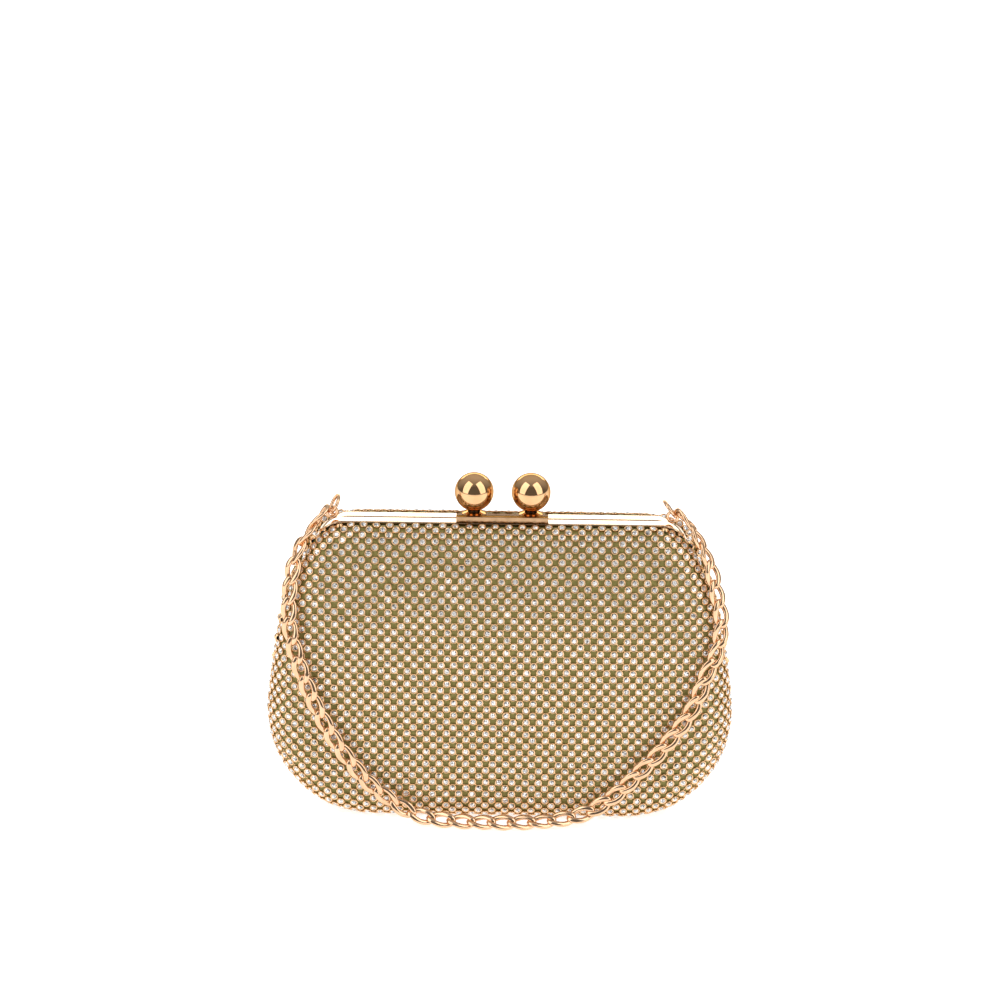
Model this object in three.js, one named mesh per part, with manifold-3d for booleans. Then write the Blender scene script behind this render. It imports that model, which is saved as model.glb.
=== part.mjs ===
// Evening bag: a puffed, stone-set mesh pouch on a hinged two-half metal frame with a
// two-ball clasp and a chain strap. Millimetres, +Z up, +X to the right of the front,
// the front faces -Y, and the bag stands on z = 0.
import * as THREE from 'three';
import { mergeVertices } from 'three/addons/utils/BufferGeometryUtils.js';
import Module from 'manifold-3d';

const wasm = await Module();
wasm.setup();

// Driving dimensions
const GAP = 0.3; // between neighbours that touch on the real bag
const CUT = 1; // how far a cutting solid runs past what it cuts
const JOIN = 0.1; // overlap of two solids joined into one
const REACH = 150; // further out than any piece
const ROUND_SIDES = 24;

const BAG_HALF_WIDTH = 100;
const BAG_HALF_DEPTH = 26; // at the fullest height
const FULL_Z = 50; // height of the fullest depth
const LEAN_ABOVE = 0.00178; // how fast the face falls back above that height
const LEAN_BELOW = 0.0006; // and below it
const SIDE_EASE = 4; // how much shallower the face is at its sides
const PANEL_TOP_Z = 130; // the panels crown a little above the frame beside them
const PANEL_THICK = 2;
const PANEL_STEPS = 21;
const LINING_SCALE = 0.93;
const LINING_SET_BACK = 3.5;
const LINING_THICK = 0.8;
const LINING_BULGE = 2; // how far the lining's side stands out past its end
const LINING_TUCK = 0.4;
const LINING_STEPS = 17;
const CREASE_LOW_Z = 78; // the back folds between these heights when the frame opens
const CREASE_HIGH_Z = 106;
const BOARD = { halfLength: 48, halfDepth: 12, top: 4 };

const FRAME_TOP_Z = 129.6;
const FLANGE_THICK = 1.2;
const FLANGE_OUT = 6.3; // half of the closed frame's depth
const SEAM_HALF = 0.25;
const WEB_THICK = 1.15;
const WEB_DEPTH = 8;
const WEB_END_Z = 97;
const CORNER_R = 11;
const CORNER_STEPS = 8;
const FRONT_FRAME_HALF = 79.4;
const BACK_FRAME_HALF = 76.8;
const HINGE_Z = 90;
const EAR_R = 4.5;
const RIVET_R = 1.45;
const RIVET_HOLE_R = 1.8;
const RIVET_HEAD_R = 2.6;
const RIVET_HEADS = [[74.1, 75.3], [79.7, 80.9]]; // inner and outer head, along X
const WASHER_R = 3.4;
const WASHER_HALF = 0.4;
const HINGE_ROOM_R = 6.3; // the cloth stays clear of the hinge
const HINGE_ROOM = [73.6, 84];

const PLATE_HALF = 19.6; // clasp bar, 39 mm long
const PLATE_OUT = { front: 4.6, back: 3.6 };
const PLATE_THICK = 1.6;
const PAD_R = 2.7;
const BALL_R = 8.3;
const BALL_X = 12.1;
const BALL_Z = 141.6;
const BALL_SIDES = 20;
const BALL_STEPS = 11;
const NECK_R = 2.4;
const NECK_DROP = 0.1; // the neck's end below the ball
const BORE_DEEP = 3.4;
const COLLAR_R = 5.3;
const COLLAR_LIP = 0.4;
const COLLAR_WAIST_R = 3.2;
const COLLAR_WAIST = 0.8; // height of the waist over the collar's foot
const POST_R = 1.1;
const POST_DEEP = 2.9; // how far the post runs up into the ball

const LEAF_HALF = 6; // the catch's two leaves, behind the clasp bar
const LEAF_Z = [121.9, 127.9];
const LEAF_THICK = 0.8;
const WINDOW_HALF = 4.2;
const WINDOW_Z = [123.4, 126.4];
const TONGUE_HALF = 3.4;
const TONGUE_TIP = -3.6;
const TONGUE_Z = [124.1, 125.7];
const CATCH_ROOM = { half: 7, out: 4.4, bottom: 118 }; // the cloth stays clear of the catch

const EYE_X = 72.5;
const EYE_R = 2.2;
const WIRE_R = 0.75;
const EYE_Y = -2.5;
const EYE_Z = 132.4;
const RING_R = 3.9;
const TORUS_STEPS = { wire: 8, eye: 16, ring: 20 };
const CHAIN_R = 1.8;
const CHAIN_SIDES = 8;
// The chain's middle line, from the left ring down over the front to the right ring
const CHAIN_ROUTE = [
  [-74.9, -6.9, 135.4], [-79.6, -9, 129.4], [-86, -12.4, 119.6], [-88.6, -15.4, 110.8],
  [-90, -19.4, 99.4], [-89.6, -22.6, 87], [-86.5, -25.6, 74.8], [-83.5, -27.4, 66.2],
  [-80, -27.8, 57.3], [-71.1, -28.4, 39.5], [-63.8, -28.7, 28.8], [-56.2, -28.9, 19.4],
  [-49.4, -29.2, 13.7], [-42.5, -29.8, 8.8], [-36.2, -30.6, 5.6], [-29.8, -31.3, 4],
  [-20.4, -32.2, 3.2], [-10.2, -33, 3], [0, -33.2, 3], [10, -32.9, 3],
  [19, -32, 3.2], [31.9, -30.4, 4.8], [39.6, -29.4, 7.3], [46.8, -29, 12.2],
  [53.6, -28.9, 18], [59.1, -28.8, 24.3], [65.5, -28.7, 31], [76.2, -28.3, 44.9],
  [81.3, -27.9, 53], [85.1, -27.2, 61.8], [88.1, -25.8, 70.3], [91.3, -23.6, 76.2],
  [93.8, -19.6, 90], [92.6, -17.6, 98.2], [90.5, -15.6, 106.6], [88.5, -13.4, 114.6],
  [85.4, -10.4, 125.6], [80.8, -8, 132.6], [75.1, -6.9, 136],
];
const CHAIN_STEPS = 80;

const gold = { color: 0xd9a468, metalness: 1, roughness: 0.12 };
const mesh = { color: 0xb8a56a, metalness: 0.5, roughness: 0.4 };
const satin = { color: 0xa0824d, metalness: 0, roughness: 0.6 };
const board = { color: 0x8a8178, metalness: 0, roughness: 0.9 };
const steel = { color: 0xc0c0c0, metalness: 1, roughness: 0.3 };

const group = new THREE.Group();

function add(name, geometry, finish) {
  const piece = new THREE.Mesh(geometry, new THREE.MeshStandardMaterial(finish));
  piece.name = name;
  group.add(piece);
  return piece;
}

// Solids: three.js geometry to a manifold and back
function solid(geometry) {
  const bare = geometry.clone();
  for (const key of Object.keys(bare.attributes)) {
    if (key !== 'position') bare.deleteAttribute(key);
  }
  const merged = mergeVertices(bare, 1e-4);
  const vertProperties = new Float32Array(merged.attributes.position.array);
  const triVerts = new Uint32Array(merged.index.array);
  return new wasm.Manifold(new wasm.Mesh({ numProp: 3, vertProperties, triVerts }));
}

function shown(manifold) {
  const { vertProperties, triVerts } = manifold.getMesh();
  const geometry = new THREE.BufferGeometry();
  geometry.setAttribute('position', new THREE.BufferAttribute(vertProperties, 3));
  geometry.setIndex(new THREE.BufferAttribute(triVerts, 1));
  return geometry;
}

function box(x0, x1, y0, y1, z0, z1) {
  const block = new THREE.BoxGeometry(x1 - x0, y1 - y0, z1 - z0);
  return solid(block.translate((x0 + x1) / 2, (y0 + y1) / 2, (z0 + z1) / 2));
}

// A disc or pin along X
function pinX(r, x0, x1, y, z) {
  const pin = new THREE.CylinderGeometry(r, r, x1 - x0, ROUND_SIDES);
  return solid(pin.rotateZ(Math.PI / 2).translate((x0 + x1) / 2, y, z));
}

function pinZ(r, x, y, z0, z1) {
  const pin = new THREE.CylinderGeometry(r, r, z1 - z0, BALL_SIDES);
  return solid(pin.rotateX(Math.PI / 2).translate(x, y, (z0 + z1) / 2));
}

// Two places along X, taken to one side and put in order
function alongX(side, [from, to]) {
  return [side * from, side * to].sort((a, b) => a - b);
}

// An XZ outline given depth from y0 to y1
function slab(shape, y0, y1) {
  const cut = { depth: y1 - y0, bevelEnabled: false, curveSegments: CORNER_STEPS };
  return solid(new THREE.ExtrudeGeometry(shape, cut).rotateX(Math.PI / 2).translate(0, y1, 0));
}

// Pouch outline. Each station of the right half runs from the middle of the base up the
// side to the middle of the frame: the outline seen from the front, the radii of the edge's
// roll across the outline and in depth, and the place where the panel ends (x, depth, z).
const STATIONS = [
  { rim: [0, 0], roll: [10, 7], fold: 1, end: [0, 0.15, 0] },
  { rim: [30, 0], roll: [10, 7], fold: 1, end: [30, 0.15, 0] },
  { rim: [57, 0], roll: [10, 7], fold: 1, end: [57, 0.15, 0] },
  { rim: [75, 4.5], roll: [10, 8], fold: 1, end: [75, 0.15, 4.5] },
  { rim: [88, 14.5], roll: [11, 10], fold: 1, end: [88, 0.15, 14.5] },
  { rim: [96.5, 27], roll: [12, 12], fold: 1, end: [96.5, 0.15, 27] },
  { rim: [BAG_HALF_WIDTH, 43], roll: [13, 13], fold: 1, end: [BAG_HALF_WIDTH, 0.15, 43] },
  { rim: [99, 58], roll: [13, 13], fold: 2, end: [96, 0.15, 57] },
  { rim: [97, 72], roll: [13, 11], fold: 4, end: [86, 0.15, 69] },
  { rim: [94.5, 84.5], roll: [13, 9.2], fold: 6.9, end: [73, 0.8, 80] },
  { rim: [91.5, 96], roll: [12, 7.8], fold: 6.9, end: [72.5, 1.8, 93] },
  { rim: [87.5, 108], roll: [11, 6.5], fold: 6.9, end: [72.5, 1.8, 108] },
  { rim: [82.8, 118], roll: [10, 6.8], fold: 6.9, end: [72.5, 1.8, 117] },
  { rim: [78.2, 124.4], roll: [10, 7.4], fold: 6.9, end: [70, 1.8, 123.5] },
  { rim: [67, 129.2], roll: [9.5, 6.1], fold: 6.7, end: [64, 1.8, 127.6] },
  { rim: [30, PANEL_TOP_Z], roll: [9, 6.3], fold: 6.7, end: [30, 1.8, 127.8] },
  { rim: [0, PANEL_TOP_Z], roll: [9, 6.3], fold: 6.7, end: [0, 1.8, 127.8] },
];
const CORE = { x: 52, z: 26, centre: 62 }; // ellipse in the middle of the face
const ROLL_STEPS = [30, 60, 90].map(THREE.MathUtils.degToRad);
const WALL = { across: 0.5, deep: 0.75 }; // the side wall's middle, from its rim to its fold
const TUCK_ACROSS = 0.94;
const LEAST_WALL = 0.6;

function faceDepth(x, z) {
  const lean = z > FULL_Z ? LEAN_ABOVE : LEAN_BELOW;
  const eased = SIDE_EASE * (Math.abs(x) / BAG_HALF_WIDTH) ** 4;
  return BAG_HALF_DEPTH - lean * (z - FULL_Z) ** 2 - eased;
}

// The lining hangs straight behind the panel's bulging sides: the outline scaled in
function liningStation(s) {
  const scaled = ([x, z]) => [x * LINING_SCALE, CORE.centre + (z - CORE.centre) * LINING_SCALE];
  const [endX, endZ] = scaled([s.end[0], s.end[2]]);
  const [rimX, rimZ] = scaled(s.rim);
  const rim = [Math.min(rimX, endX + LINING_BULGE), rimZ];
  return { ...s, rim, fold: s.fold + LINING_TUCK, end: [endX, s.end[1], endZ] };
}

function spread(values, count) {
  const points = values.map((v) => new THREE.Vector3(...v));
  const line = new THREE.CatmullRomCurve3(points, false, 'centripetal');
  return Array.from({ length: count }, (_, i) => line.getPoint(i / (count - 1)));
}

// Rings of points on one half's outer face, from the middle outwards; each ring runs
// once round, starting at the middle of the base. Front half: depth is along -Y.
function halfRings(stations, count, setBack) {
  const [first, last] = [stations[0], stations.at(-1)];
  const rims = spread(stations.map((s) => [s.rim[0], s.fold, s.rim[1]]), count);
  const rolls = spread(stations.map((s) => [...s.roll, 0]), count);
  const ends = spread(stations.map((s) => [s.end[0], -s.end[1], s.end[2]]), count);
  rims.forEach((p) => p.setZ(THREE.MathUtils.clamp(p.z, first.rim[1], last.rim[1])));
  ends.forEach((p) => p.setZ(THREE.MathUtils.clamp(p.z, first.end[2], last.end[2])));
  const depthAt = (p) => faceDepth(p.x, p.z) - setBack;
  const spokes = ends.map((end, i) => {
    const before = rims[Math.max(i - 1, 0)];
    const after = rims[Math.min(i + 1, count - 1)];
    const out = new THREE.Vector3(after.z - before.z, 0, before.x - after.x).normalize();
    if (i === 0 || i === count - 1) out.set(0, 0, Math.sign(out.z));
    const start = rims[i].clone().setY(0).addScaledVector(out, -rolls[i].x);
    const turn = Math.PI * (i / (count - 1) - 0.5);
    const coreZ = CORE.centre + CORE.z * Math.sin(turn);
    const core = new THREE.Vector3(CORE.x * Math.cos(turn), 0, coreZ);
    const face = [core, core.clone().lerp(start, 0.5), start].map((p) => p.setY(-depthAt(p)));
    const roll = ROLL_STEPS.map((angle) => {
      const p = start.clone().addScaledVector(out, rolls[i].x * Math.sin(angle));
      return p.setY(rolls[i].y * (1 - Math.cos(angle)) - depthAt(p));
    });
    const rim = roll.at(-1);
    const fold = Math.min(rims[i].y, -rim.y - LEAST_WALL);
    const wall = rim.clone().lerp(end, WALL.across);
    const tuck = rim.clone().lerp(end, TUCK_ACROSS).setY(-fold);
    wall.setY(THREE.MathUtils.lerp(rim.y, -fold, WALL.deep));
    return [...face, ...roll, wall, tuck, end];
  });
  return spokes[0].map((_, r) => {
    const right = spokes.map((spoke) => spoke[r]);
    const left = right.slice(1, -1).reverse().map((p) => p.clone().setX(-p.x));
    return [...right, ...left];
  });
}

// The same rings moved in along the face's normal
function inset(rings, depth) {
  const last = rings.length - 1;
  return rings.map((ring, r) => ring.map((p, i) => {
    const along = ring[(i + 1) % ring.length].clone().sub(ring.at(i - 1));
    const across = rings[Math.min(r + 1, last)][i].clone().sub(rings[Math.max(r - 1, 0)][i]);
    return p.clone().addScaledVector(along.cross(across).normalize(), depth);
  }));
}

// A closed shell between an outer and an inner set of rings
function shell(outer, inner) {
  const points = [];
  const faces = [];
  const n = outer[0].length;
  const at = (layer, r, i) => layer * outer.length * n + r * n + (i % n);
  [outer, inner].forEach((rings) => rings.flat().forEach((p) => points.push(p.x, p.y, p.z)));
  const quad = (a, b, c, d) => faces.push(a, b, c, a, c, d);
  for (let layer = 0; layer < 2; layer += 1) {
    const put = layer ? (a, b, c, d) => quad(d, c, b, a) : quad;
    for (let r = 0; r < outer.length - 1; r += 1) {
      for (let i = 0; i < n; i += 1) {
        put(at(layer, r, i), at(layer, r + 1, i), at(layer, r + 1, i + 1), at(layer, r, i + 1));
      }
    }
    for (let i = 0; i < n / 2; i += 1) {
      const [a, b] = [at(layer, 0, i), at(layer, 0, i + 1)];
      const [c, d] = [at(layer, 0, n - i - 1), at(layer, 0, n - i)];
      const tri = layer ? (p, q, s) => faces.push(s, q, p) : (p, q, s) => faces.push(p, q, s);
      if (a !== d && a % n !== 0) tri(a, b, d);
      if (b !== c) tri(b, c, d);
    }
  }
  const edge = outer.length - 1;
  for (let i = 0; i < n; i += 1) {
    quad(at(0, edge, i), at(1, edge, i), at(1, edge, i + 1), at(0, edge, i + 1));
  }
  const geometry = new THREE.BufferGeometry();
  geometry.setAttribute('position', new THREE.Float32BufferAttribute(points, 3));
  geometry.setIndex(faces);
  return solid(geometry);
}

function largest(manifold) {
  return manifold.decompose().reduce((a, b) => (b.volume() > a.volume() ? b : a));
}

function turned(manifold) {
  return solid(shown(manifold).rotateZ(Math.PI));
}

// Slice of a panel between two heights
function slice(panel, z0, z1) {
  return largest(panel.intersect(box(-REACH, REACH, -REACH, REACH, z0, z1)));
}

// Upside-down U in XZ, between two offsets in from the frame's outer line
function archBand(half, outer, inner, endZ) {
  const arcX = half - CORNER_R;
  const arcZ = FRAME_TOP_Z - CORNER_R;
  const shape = new THREE.Shape();
  shape.moveTo(half - outer, endZ);
  shape.lineTo(half - outer, arcZ);
  shape.absarc(arcX, arcZ, CORNER_R - outer, 0, Math.PI / 2, false);
  shape.absarc(-arcX, arcZ, CORNER_R - outer, Math.PI / 2, Math.PI, false);
  shape.lineTo(outer - half, endZ);
  shape.lineTo(inner - half, endZ);
  shape.lineTo(inner - half, arcZ);
  shape.absarc(-arcX, arcZ, CORNER_R - inner, Math.PI, Math.PI / 2, true);
  shape.absarc(arcX, arcZ, CORNER_R - inner, Math.PI / 2, 0, true);
  shape.lineTo(half - inner, endZ);
  return shape;
}

// One frame half: an outer flange over the panel's edge, a web inside, and a hinge ear
function frameHalf(half, side) {
  const [y0, y1] = side < 0 ? [-FLANGE_OUT, -SEAM_HALF] : [SEAM_HALF, FLANGE_OUT];
  const webY = side < 0 ? [-SEAM_HALF - WEB_THICK, -SEAM_HALF] : [SEAM_HALF, SEAM_HALF + WEB_THICK];
  let frame = slab(archBand(half, 0, FLANGE_THICK, HINGE_Z), y0, y1);
  frame = frame.add(slab(archBand(half, FLANGE_THICK - JOIN, WEB_DEPTH, WEB_END_Z), ...webY));
  for (const s of [-1, 1]) {
    const [x0, x1] = alongX(s, [half - FLANGE_THICK, half]);
    frame = frame.add(pinX(EAR_R, x0, x1, 0, HINGE_Z));
    frame = frame.subtract(pinX(RIVET_HOLE_R, x0 - CUT, x1 + CUT, 0, HINGE_Z));
  }
  const through = SEAM_HALF + WEB_THICK + CUT;
  return frame.subtract(box(-WINDOW_HALF, WINDOW_HALF, -through, through, ...WINDOW_Z));
}

// Clasp bar half, with a round pad under its own ball and a notch for the other's pad
function claspPlate(side) {
  const [y0, y1] = side < 0 ? [-PLATE_OUT.front, -GAP / 2] : [GAP / 2, PLATE_OUT.back];
  const [z0, z1] = [FRAME_TOP_Z + GAP, FRAME_TOP_Z + GAP + PLATE_THICK];
  return box(-PLATE_HALF, PLATE_HALF, y0, y1, z0, z1)
    .add(pinZ(PAD_R, side * BALL_X, 0, z0, z1))
    .subtract(pinZ(PAD_R + GAP, -side * BALL_X, 0, z0 - CUT, z1 + CUT))
    .subtract(pinZ(POST_R + GAP, side * BALL_X, 0, z0 - CUT, z1 + CUT));
}

function revolve(profile) {
  const points = profile.map(([r, z]) => new THREE.Vector2(r, z));
  return new THREE.LatheGeometry(points, BALL_SIDES).rotateX(Math.PI / 2);
}

// Ball with its neck and a blind bore for the post
function ballKnob() {
  const neckZ = BALL_Z - BALL_R - NECK_DROP;
  const joinZ = BALL_Z - Math.sqrt(BALL_R ** 2 - NECK_R ** 2);
  const boreTop = neckZ + BORE_DEEP;
  const profile = [[0, boreTop], [POST_R + GAP, boreTop], [POST_R + GAP, neckZ], [NECK_R, neckZ]];
  const from = Math.atan2(joinZ - BALL_Z, NECK_R);
  for (let i = 0; i < BALL_STEPS; i += 1) {
    const a = from + ((Math.PI / 2 - from) * i) / BALL_STEPS;
    profile.push([BALL_R * Math.cos(a), BALL_Z + BALL_R * Math.sin(a)]);
  }
  return revolve([...profile, [0, BALL_Z + BALL_R]]);
}

function ballCollar() {
  const z0 = FRAME_TOP_Z + 2 * GAP + PLATE_THICK;
  const z1 = BALL_Z - BALL_R - NECK_DROP - GAP / 2;
  const bore = POST_R + GAP;
  const foot = [[bore, z0], [COLLAR_R, z0], [COLLAR_R, z0 + COLLAR_LIP]];
  const waist = [[COLLAR_WAIST_R, z0 + COLLAR_WAIST], [NECK_R, z1], [bore, z1], [bore, z0]];
  return revolve([...foot, ...waist]);
}

function ballPost() {
  const z0 = FRAME_TOP_Z + GAP;
  const z1 = BALL_Z - BALL_R + POST_DEEP;
  return revolve([[0, z0], [POST_R, z0], [POST_R, z1], [0, z1]]);
}

// Catch behind the bar: a tongue on the back half that passes both webs, and the leaf
// spring on the front half that it clicks into
function catchTongue() {
  const y = SEAM_HALF + WEB_THICK + GAP;
  const tongue = box(-TONGUE_HALF, TONGUE_HALF, TONGUE_TIP, y + JOIN, ...TONGUE_Z);
  return box(-LEAF_HALF, LEAF_HALF, y, y + LEAF_THICK, ...LEAF_Z).add(tongue);
}

function catchSpring() {
  const y = -SEAM_HALF - WEB_THICK - GAP;
  return box(-LEAF_HALF, LEAF_HALF, y - LEAF_THICK, y, ...LEAF_Z)
    .subtract(box(-WINDOW_HALF, WINDOW_HALF, y - LEAF_THICK - CUT, y + CUT, ...WINDOW_Z));
}

function hingeRivet(side) {
  const [inner, outer] = RIVET_HEADS;
  const shank = pinX(RIVET_R, ...alongX(side, [inner[1] - JOIN, outer[0] + JOIN]), 0, HINGE_Z);
  return shank
    .add(pinX(RIVET_HEAD_R, ...alongX(side, inner), 0, HINGE_Z))
    .add(pinX(RIVET_HEAD_R, ...alongX(side, outer), 0, HINGE_Z));
}

function hingeWasher(side) {
  const middle = (BACK_FRAME_HALF + FRONT_FRAME_HALF - FLANGE_THICK) / 2;
  const [x0, x1] = alongX(side, [middle - WASHER_HALF, middle + WASHER_HALF]);
  return pinX(WASHER_R, x0, x1, 0, HINGE_Z)
    .subtract(pinX(RIVET_HOLE_R, x0 - CUT, x1 + CUT, 0, HINGE_Z));
}

// The chain as its envelope: one round tube along its middle line
function chainStrap() {
  const middle = CHAIN_ROUTE.map((p) => new THREE.Vector3(...p));
  const extrudePath = new THREE.CatmullRomCurve3(middle, false, 'centripetal');
  const section = new THREE.Shape();
  section.moveTo(CHAIN_R, 0);
  for (let i = 1; i < CHAIN_SIDES; i += 1) {
    const a = (2 * Math.PI * i) / CHAIN_SIDES;
    section.lineTo(CHAIN_R * Math.cos(a), CHAIN_R * Math.sin(a));
  }
  const along = { steps: CHAIN_STEPS, extrudePath, bevelEnabled: false };
  return new THREE.ExtrudeGeometry(section, along);
}

const front = halfRings(STATIONS, PANEL_STEPS, 0);
const frontShell = shell(front, inset(front, PANEL_THICK));
const lining = halfRings(STATIONS.map(liningStation), LINING_STEPS, LINING_SET_BACK);
const liningShell = shell(lining, inset(lining, LINING_THICK));
const { half: roomHalf, out: roomOut, bottom: roomBottom } = CATCH_ROOM;
const catchRoom = box(-roomHalf, roomHalf, -roomOut, roomOut, roomBottom, REACH);
const hingeRoom = (side) => pinX(HINGE_ROOM_R, ...alongX(side, HINGE_ROOM), 0, HINGE_Z);
const cloth = (m) => largest(m.subtract(catchRoom).subtract(hingeRoom(1)).subtract(hingeRoom(-1)));
const frontPanel = cloth(frontShell);
const backPanel = turned(frontPanel);
const frontLining = cloth(liningShell);
const backLining = turned(frontLining);

add('front_panel', shown(frontPanel), mesh);
add('back_panel_lower', shown(slice(backPanel, -REACH, CREASE_LOW_Z)), mesh);
add('back_panel_crease', shown(slice(backPanel, CREASE_LOW_Z + GAP, CREASE_HIGH_Z - GAP)), mesh);
add('back_panel_upper', shown(slice(backPanel, CREASE_HIGH_Z, REACH)), mesh);
add('front_lining', shown(frontLining), satin);
add('back_lining_lower', shown(slice(backLining, -REACH, CREASE_LOW_Z)), satin);
add('back_lining_crease', shown(slice(backLining, CREASE_LOW_Z + GAP, CREASE_HIGH_Z - GAP)), satin);
add('back_lining_upper', shown(slice(backLining, CREASE_HIGH_Z, REACH)), satin);

const { halfLength, halfDepth, top } = BOARD;
const boardBlock = box(-halfLength, halfLength, -halfDepth, halfDepth, PANEL_THICK + GAP, top);
add('base_board', shown(boardBlock), board);

add('front_frame', shown(frameHalf(FRONT_FRAME_HALF, -1)), gold);
add('back_frame', shown(frameHalf(BACK_FRAME_HALF, 1)), gold);
add('front_clasp_plate', shown(claspPlate(-1)), gold);
add('back_clasp_plate', shown(claspPlate(1)), gold);
for (const [name, x] of [['front', -BALL_X], ['back', BALL_X]]) {
  add(`${name}_ball`, ballKnob(), gold).position.x = x;
  add(`${name}_ball_collar`, ballCollar(), gold).position.x = x;
  add(`${name}_ball_post`, ballPost(), steel).position.x = x;
}
add('catch_tongue', shown(catchTongue()), steel);
add('catch_spring', shown(catchSpring()), steel);

// Hinge pins, and the strap's eyelets on the front frame with a ring in each
for (const [name, s] of [['left', -1], ['right', 1]]) {
  add(`hinge_rivet_${name}`, shown(hingeRivet(s)), gold);
  add(`hinge_washer_${name}`, shown(hingeWasher(s)), steel);
  const { wire, eye: eyeSteps, ring: ringSteps } = TORUS_STEPS;
  const eye = add(`strap_eyelet_${name}`, new THREE.TorusGeometry(EYE_R, WIRE_R, wire, eyeSteps), gold);
  eye.rotation.x = Math.PI / 2;
  eye.position.set(s * EYE_X, EYE_Y, EYE_Z);
  const ring = add(`strap_ring_${name}`, new THREE.TorusGeometry(RING_R, WIRE_R, wire, ringSteps), gold);
  ring.rotation.y = Math.PI / 2;
  ring.position.set(s * EYE_X, EYE_Y, EYE_Z + RING_R);
}
add('chain_strap', chainStrap(), gold);

export default group;
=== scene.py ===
"""Evening bag: stone-set mesh pouch, two-half gold frame, two-ball clasp, curb chain strap.

The CAD model gives every size and place. This script adds the looks: crystals in
their cups, the gold mesh behind them, satin linings, polished metal and the chain.
"""

import math

import bmesh
import bpy
import numpy as np
from mathutils import Matrix, Vector
from mathutils.bvhtree import BVHTree


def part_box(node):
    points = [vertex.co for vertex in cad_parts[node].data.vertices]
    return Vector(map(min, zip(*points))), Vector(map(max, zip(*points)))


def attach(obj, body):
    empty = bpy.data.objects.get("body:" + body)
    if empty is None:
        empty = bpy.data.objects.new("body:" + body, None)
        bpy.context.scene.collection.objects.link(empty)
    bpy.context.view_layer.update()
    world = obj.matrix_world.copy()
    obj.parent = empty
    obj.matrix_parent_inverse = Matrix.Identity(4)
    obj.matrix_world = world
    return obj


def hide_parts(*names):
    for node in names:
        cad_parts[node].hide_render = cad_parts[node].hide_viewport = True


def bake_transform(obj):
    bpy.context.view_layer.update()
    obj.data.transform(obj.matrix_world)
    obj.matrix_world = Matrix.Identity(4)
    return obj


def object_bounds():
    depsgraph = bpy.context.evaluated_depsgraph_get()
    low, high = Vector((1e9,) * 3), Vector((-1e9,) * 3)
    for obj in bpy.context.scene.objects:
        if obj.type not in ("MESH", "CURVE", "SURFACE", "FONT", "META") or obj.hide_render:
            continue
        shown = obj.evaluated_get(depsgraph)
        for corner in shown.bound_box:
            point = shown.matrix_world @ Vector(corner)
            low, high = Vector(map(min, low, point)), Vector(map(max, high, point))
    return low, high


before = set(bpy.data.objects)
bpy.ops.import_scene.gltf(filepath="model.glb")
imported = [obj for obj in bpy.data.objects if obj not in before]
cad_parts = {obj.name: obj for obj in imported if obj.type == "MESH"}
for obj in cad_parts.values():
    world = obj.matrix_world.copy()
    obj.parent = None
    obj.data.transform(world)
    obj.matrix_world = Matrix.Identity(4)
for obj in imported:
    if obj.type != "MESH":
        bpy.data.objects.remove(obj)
cad_low, cad_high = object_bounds()
MM = 0.001
SEED = np.random.default_rng(11)

# Pouch, in millimetres: outline x and z, the edge's roll across and in depth, how far
# in the side folds, the panel's end (x, depth, z), and the share of the side wall,
# from the outline to the panel's end, that the crystals cover.
STATIONS = [
    (0, 0, 10, 7, 1, 0, 0.15, 0, 0.93),
    (30, 0, 10, 7, 1, 30, 0.15, 0, 0.93),
    (57, 0, 10, 7, 1, 57, 0.15, 0, 0.93),
    (75, 4.5, 10, 8, 1, 75, 0.15, 4.5, 0.93),
    (88, 14.5, 11, 10, 1, 88, 0.15, 14.5, 0.92),
    (96.5, 27, 12, 12, 1, 96.5, 0.15, 27, 0.9),
    (100, 43, 13, 13, 1, 100, 0.15, 43, 0.88),
    (99, 58, 13, 13, 2, 96, 0.15, 57, 0.88),
    (97, 72, 13, 11, 4, 86, 0.15, 69, 0.85),
    (94.5, 84.5, 13, 9.2, 6.9, 73, 0.8, 80, 0.5),
    (91.5, 96, 12, 7.8, 6.9, 72.5, 1.8, 93, 0.45),
    (87.5, 108, 11, 6.5, 6.9, 72.5, 1.8, 108, 0.35),
    (82.8, 118, 10, 6.8, 6.9, 72.5, 1.8, 117, 0.3),
    (78.2, 124.4, 10, 7.4, 6.9, 70, 1.8, 123.5, 0.25),
    (67, 129.2, 9.5, 6.1, 6.7, 64, 1.8, 127.6, 0.08),
    (30, 130, 9, 6.3, 6.7, 30, 1.8, 127.8, 0),
    (0, 130, 9, 6.3, 6.7, 0, 1.8, 127.8, 0),
]
HALF_WIDTH = 100
HALF_DEPTH = 26
FULL_Z = 50
CORE_Z = 62
LINING_SCALE = 0.93
LINING_SET_BACK = 3.5
SAMPLES = 121
ROLL_SAMPLES = 13
WALL_SAMPLES = 12
FACE_RINGS = 18
CORNER_EASE = 60
LEAN_ABOVE = 0.00178  # how fast the face falls back above and below its fullest height
LEAN_BELOW = 0.0006
SIDE_EASE = 4
WALL_SHARE = 0.25  # how near the side wall's middle stays to the face's edge
TUCK_SHARE = 0.94
FOLD_CLEAR = 0.6
FACE_CENTRE = 0.06  # share of the face inside its first ring

# Cloth: the thickness of the gold mesh and satin lining sheets
CLOTH_THICK = 0.5  # in millimetres

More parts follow.
